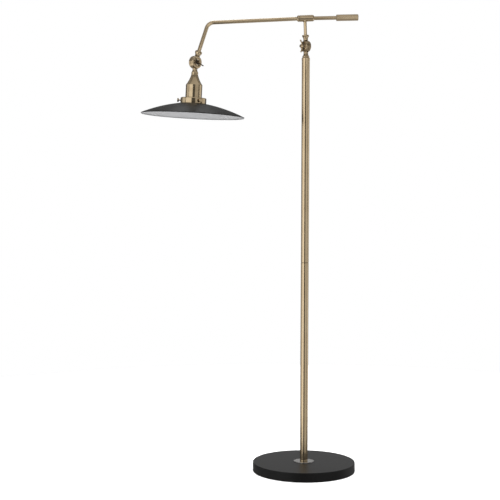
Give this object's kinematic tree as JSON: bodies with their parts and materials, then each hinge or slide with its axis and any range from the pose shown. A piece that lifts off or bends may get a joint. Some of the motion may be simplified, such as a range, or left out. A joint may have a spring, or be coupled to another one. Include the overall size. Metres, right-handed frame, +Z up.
{
  "type": "pharmacy floor lamp",
  "caption": "Floor lamp with a weighted round base, a slim pole, a tilting counterbalanced arm and a tilting shallow saucer shade.",
  "frame": {"origin": "middle of the base's underside, on the pole's axis, where the lamp stands on the floor", "axes": "+Z up along the pole, the arm reaches out along -X at rest"},
  "size_m": [0.6897, 0.3594, 1.4674],
  "materials": {
    "antique_brass": "satin antique brass, lacquered",
    "base_enamel": "satin dark bronze enamel",
    "iron": "as cast, primed",
    "pad_felt": "black felt",
    "black_rubber": "moulded",
    "bright_trim": "polished nickel plate",
    "plain_steel": "zinc plated",
    "lead_sheath": "flexible insulation",
    "friction_fibre": "vulcanised fibre",
    "phenolic": "moulded phenolic",
    "contact_brass": "bright brass",
    "shade_enamel": "satin black enamel outside, white enamel inside"
  },
  "bodies": {
    "base": {"base_cover": "base_enamel", "base_weight": "iron", "base_pad": "pad_felt", "cord_bushing": "black_rubber", "trim_washer": "bright_trim", "base_nipple": "plain_steel", "clamp_washer": "plain_steel", "base_nut": "plain_steel", "pole_insert": "plain_steel", "lower_pole": "antique_brass", "coupler_socket": "plain_steel", "coupler_stud": "antique_brass", "upper_pole": "antique_brass", "pole_cap": "antique_brass", "pole_nipple": "plain_steel", "pole_leads": "lead_sheath", "pole_knuckle_lower": "antique_brass", "pole_friction_ring": "friction_fibre", "pole_nut_washer": "plain_steel"},
    "pole_yoke": {"pole_knuckle_upper": "antique_brass", "stem_grub": "plain_steel", "pole_clamp_screw": "antique_brass"},
    "pole_wing_nut": {"pole_wing_nut": "antique_brass"},
    "arm": {"stem": "antique_brass", "t_sleeve": "antique_brass", "sleeve_lock_ring": "antique_brass", "arm_tube": "antique_brass", "balance_rod": "antique_brass", "counterweight": "antique_brass", "counterweight_grub": "plain_steel", "arm_leads": "lead_sheath"},
    "leg_collar": {"lamp_knuckle_upper": "antique_brass", "leg_grub": "plain_steel", "lamp_clamp_screw": "antique_brass"},
    "lamp_wing_nut": {"lamp_wing_nut": "antique_brass"},
    "head": {"lamp_knuckle_lower": "antique_brass", "lamp_friction_ring": "friction_fibre", "lamp_nut_washer": "plain_steel", "head_nipple": "plain_steel", "head_nut": "plain_steel", "socket_cap": "antique_brass", "lampholder_body": "phenolic", "screw_shell": "contact_brass", "centre_contact": "contact_brass", "terminals": "contact_brass", "socket_leads": "lead_sheath", "shade_ring_nut": "plain_steel", "shade_holder": "antique_brass", "shade": "shade_enamel"},
    "fitter_screw_1": {"fitter_screw_1": "antique_brass"},
    "fitter_screw_2": {"fitter_screw_2": "antique_brass"},
    "fitter_screw_3": {"fitter_screw_3": "antique_brass"}
  },
  "joints": [
    {"name": "arm_tilt", "type": "hinge", "parent": "base", "child": "pole_yoke", "pos_m": [0, 0, 1.3646], "axis": [-0.866, -0.5, 0], "range_deg": [-49, 41]},
    {"name": "pole_wing_turn", "type": "hinge", "parent": "pole_yoke", "child": "pole_wing_nut", "pos_m": [-0.01386, -0.008, 1.3646], "axis": [-0.866, -0.5, 0], "range_deg": [-90, 180]},
    {"name": "arm_swivel", "type": "hinge", "parent": "pole_yoke", "child": "arm", "pos_m": [0, 0, 1.3646], "axis": [-0.0366, 0.0634, 0.9973], "range_deg": [-170, 170]},
    {"name": "head_swivel", "type": "hinge", "parent": "arm", "child": "leg_collar", "pos_m": [-0.35086, -0.02848, 1.31009], "axis": [0.2859, 0.2415, 0.9273], "range_deg": [-170, 170]},
    {"name": "lamp_wing_turn", "type": "hinge", "parent": "leg_collar", "child": "lamp_wing_nut", "pos_m": [-0.33953, -0.03976, 1.30953], "axis": [0.7082, -0.7052, -0.0347], "range_deg": [-90, 180]},
    {"name": "head_tilt", "type": "hinge", "parent": "leg_collar", "child": "head", "pos_m": [-0.35086, -0.02848, 1.31009], "axis": [0.7082, -0.7052, -0.0347], "range_deg": [-110, 70]},
    {"name": "fitter_screw_1_turn", "type": "hinge", "parent": "head", "child": "fitter_screw_1", "pos_m": [-0.40175, -0.02848, 1.19124], "axis": [-0.9988, 0, 0.049], "range_deg": [-90, 180]},
    {"name": "fitter_screw_2_turn", "type": "hinge", "parent": "head", "child": "fitter_screw_2", "pos_m": [-0.33433, -0.06745, 1.18793], "axis": [0.4994, -0.866, -0.0245], "range_deg": [-90, 180]},
    {"name": "fitter_screw_3_turn", "type": "hinge", "parent": "head", "child": "fitter_screw_3", "pos_m": [-0.33433, 0.01049, 1.18793], "axis": [0.4994, 0.866, -0.0245], "range_deg": [-90, 180]}
  ]
}
